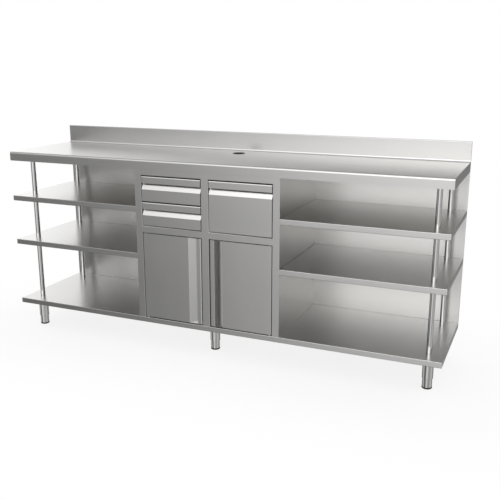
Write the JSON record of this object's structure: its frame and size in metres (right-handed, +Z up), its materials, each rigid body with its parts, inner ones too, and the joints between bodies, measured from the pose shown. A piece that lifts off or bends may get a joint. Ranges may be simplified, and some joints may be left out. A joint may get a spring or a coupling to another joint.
{
  "type": "coffee machine counter",
  "caption": "Long stainless steel back-bar counter with upstand, open side shelves on round posts and a central cabinet with drawers and hinged doors.",
  "frame": {"origin": "on the floor under the middle of the counter", "axes": "+X along the length to the right seen from the front, +Y to the back, +Z up"},
  "size_m": [2.545, 0.595, 1.198],
  "materials": {
    "brushed_steel": "satin brushed stainless steel",
    "polished_steel": "polished stainless steel tube",
    "zinc_plate": "zinc plated steel",
    "dark_plastic": "black moulded plastic",
    "black_rubber": "black rubber",
    "board": "raw water-resistant board"
  },
  "bodies": {
    "counter": {"worktop": "brushed_steel", "left_upper_shelf": "brushed_steel", "left_lower_shelf": "brushed_steel", "right_upper_shelf": "brushed_steel", "right_lower_shelf": "brushed_steel", "bottom_shelf": "brushed_steel", "back_panel": "brushed_steel", "front_frame": "brushed_steel", "left_wall": "brushed_steel", "centre_wall": "brushed_steel", "right_wall": "brushed_steel", "worktop_core": "board", "cable_bush": "dark_plastic", "front_left_leg": "polished_steel", "front_left_post": "polished_steel", "rear_left_leg": "polished_steel", "rear_left_post": "polished_steel", "front_middle_leg": "polished_steel", "rear_middle_leg": "polished_steel", "front_right_leg": "polished_steel", "front_right_post": "polished_steel", "rear_right_leg": "polished_steel", "rear_right_post": "polished_steel", "upper_left_drawer_fixed_runner_left": "zinc_plate", "upper_left_drawer_fixed_runner_right": "zinc_plate", "lower_left_drawer_fixed_runner_left": "zinc_plate", "lower_left_drawer_fixed_runner_right": "zinc_plate", "deep_drawer_fixed_runner_left": "zinc_plate", "deep_drawer_fixed_runner_right": "zinc_plate", "left_door_top_pivot": "zinc_plate", "left_door_bottom_pivot": "zinc_plate", "left_door_catch": "dark_plastic", "right_door_top_pivot": "zinc_plate", "right_door_bottom_pivot": "zinc_plate", "right_door_catch": "dark_plastic"},
    "upper_left_drawer": {"upper_left_drawer_front": "brushed_steel", "upper_left_drawer_tray": "brushed_steel"},
    "upper_left_drawer_middle_runners": {"upper_left_drawer_middle_runner_left": "zinc_plate", "upper_left_drawer_middle_runner_right": "zinc_plate"},
    "lower_left_drawer": {"lower_left_drawer_front": "brushed_steel", "lower_left_drawer_tray": "brushed_steel"},
    "lower_left_drawer_middle_runners": {"lower_left_drawer_middle_runner_left": "zinc_plate", "lower_left_drawer_middle_runner_right": "zinc_plate"},
    "deep_drawer": {"deep_drawer_front": "brushed_steel", "deep_drawer_tray": "brushed_steel", "knock_bar": "polished_steel", "knock_bar_sleeve": "black_rubber"},
    "deep_drawer_middle_runners": {"deep_drawer_middle_runner_left": "zinc_plate", "deep_drawer_middle_runner_right": "zinc_plate"},
    "left_door": {"left_door_skin": "brushed_steel", "left_door_liner": "brushed_steel"},
    "right_door": {"right_door_skin": "brushed_steel", "right_door_liner": "brushed_steel"},
    "front_left_foot": {"front_left_foot": "polished_steel"},
    "rear_left_foot": {"rear_left_foot": "polished_steel"},
    "front_middle_foot": {"front_middle_foot": "polished_steel"},
    "rear_middle_foot": {"rear_middle_foot": "polished_steel"},
    "front_right_foot": {"front_right_foot": "polished_steel"},
    "rear_right_foot": {"rear_right_foot": "polished_steel"}
  },
  "joints": [
    {"name": "upper_left_drawer_slide", "type": "slide", "parent": "counter", "child": "upper_left_drawer", "axis": [0, -1, 0], "range_m": [0, 0.45]},
    {"name": "upper_left_drawer_middle_slide", "type": "slide", "parent": "counter", "child": "upper_left_drawer_middle_runners", "axis": [0, -1, 0], "range_m": [0, 0.225]},
    {"name": "lower_left_drawer_slide", "type": "slide", "parent": "counter", "child": "lower_left_drawer", "axis": [0, -1, 0], "range_m": [0, 0.45]},
    {"name": "lower_left_drawer_middle_slide", "type": "slide", "parent": "counter", "child": "lower_left_drawer_middle_runners", "axis": [0, -1, 0], "range_m": [0, 0.225]},
    {"name": "deep_drawer_slide", "type": "slide", "parent": "counter", "child": "deep_drawer", "axis": [0, -1, 0], "range_m": [0, 0.45]},
    {"name": "deep_drawer_middle_slide", "type": "slide", "parent": "counter", "child": "deep_drawer_middle_runners", "axis": [0, -1, 0], "range_m": [0, 0.225]},
    {"name": "left_door_hinge", "type": "hinge", "parent": "counter", "child": "left_door", "pos_m": [-0.37, -0.2915, 0.195], "axis": [0, 0, -1], "range_deg": [0, 110]},
    {"name": "right_door_hinge", "type": "hinge", "parent": "counter", "child": "right_door", "pos_m": [0.37, -0.2915, 0.195], "axis": [0, 0, 1], "range_deg": [0, 110]},
    {"name": "front_left_foot_screw", "type": "slide", "parent": "counter", "child": "front_left_foot", "axis": [0, 0, -1], "range_m": [0, 0.03]},
    {"name": "rear_left_foot_screw", "type": "slide", "parent": "counter", "child": "rear_left_foot", "axis": [0, 0, -1], "range_m": [0, 0.03]},
    {"name": "front_middle_foot_screw", "type": "slide", "parent": "counter", "child": "front_middle_foot", "axis": [0, 0, -1], "range_m": [0, 0.03]},
    {"name": "rear_middle_foot_screw", "type": "slide", "parent": "counter", "child": "rear_middle_foot", "axis": [0, 0, -1], "range_m": [0, 0.03]},
    {"name": "front_right_foot_screw", "type": "slide", "parent": "counter", "child": "front_right_foot", "axis": [0, 0, -1], "range_m": [0, 0.03]},
    {"name": "rear_right_foot_screw", "type": "slide", "parent": "counter", "child": "rear_right_foot", "axis": [0, 0, -1], "range_m": [0, 0.03]}
  ],
  "couplings": [
    {"joint": "upper_left_drawer_middle_slide", "follows": "upper_left_drawer_slide", "ratio": 0.5},
    {"joint": "lower_left_drawer_middle_slide", "follows": "lower_left_drawer_slide", "ratio": 0.5},
    {"joint": "deep_drawer_middle_slide", "follows": "deep_drawer_slide", "ratio": 0.5}
  ]
}
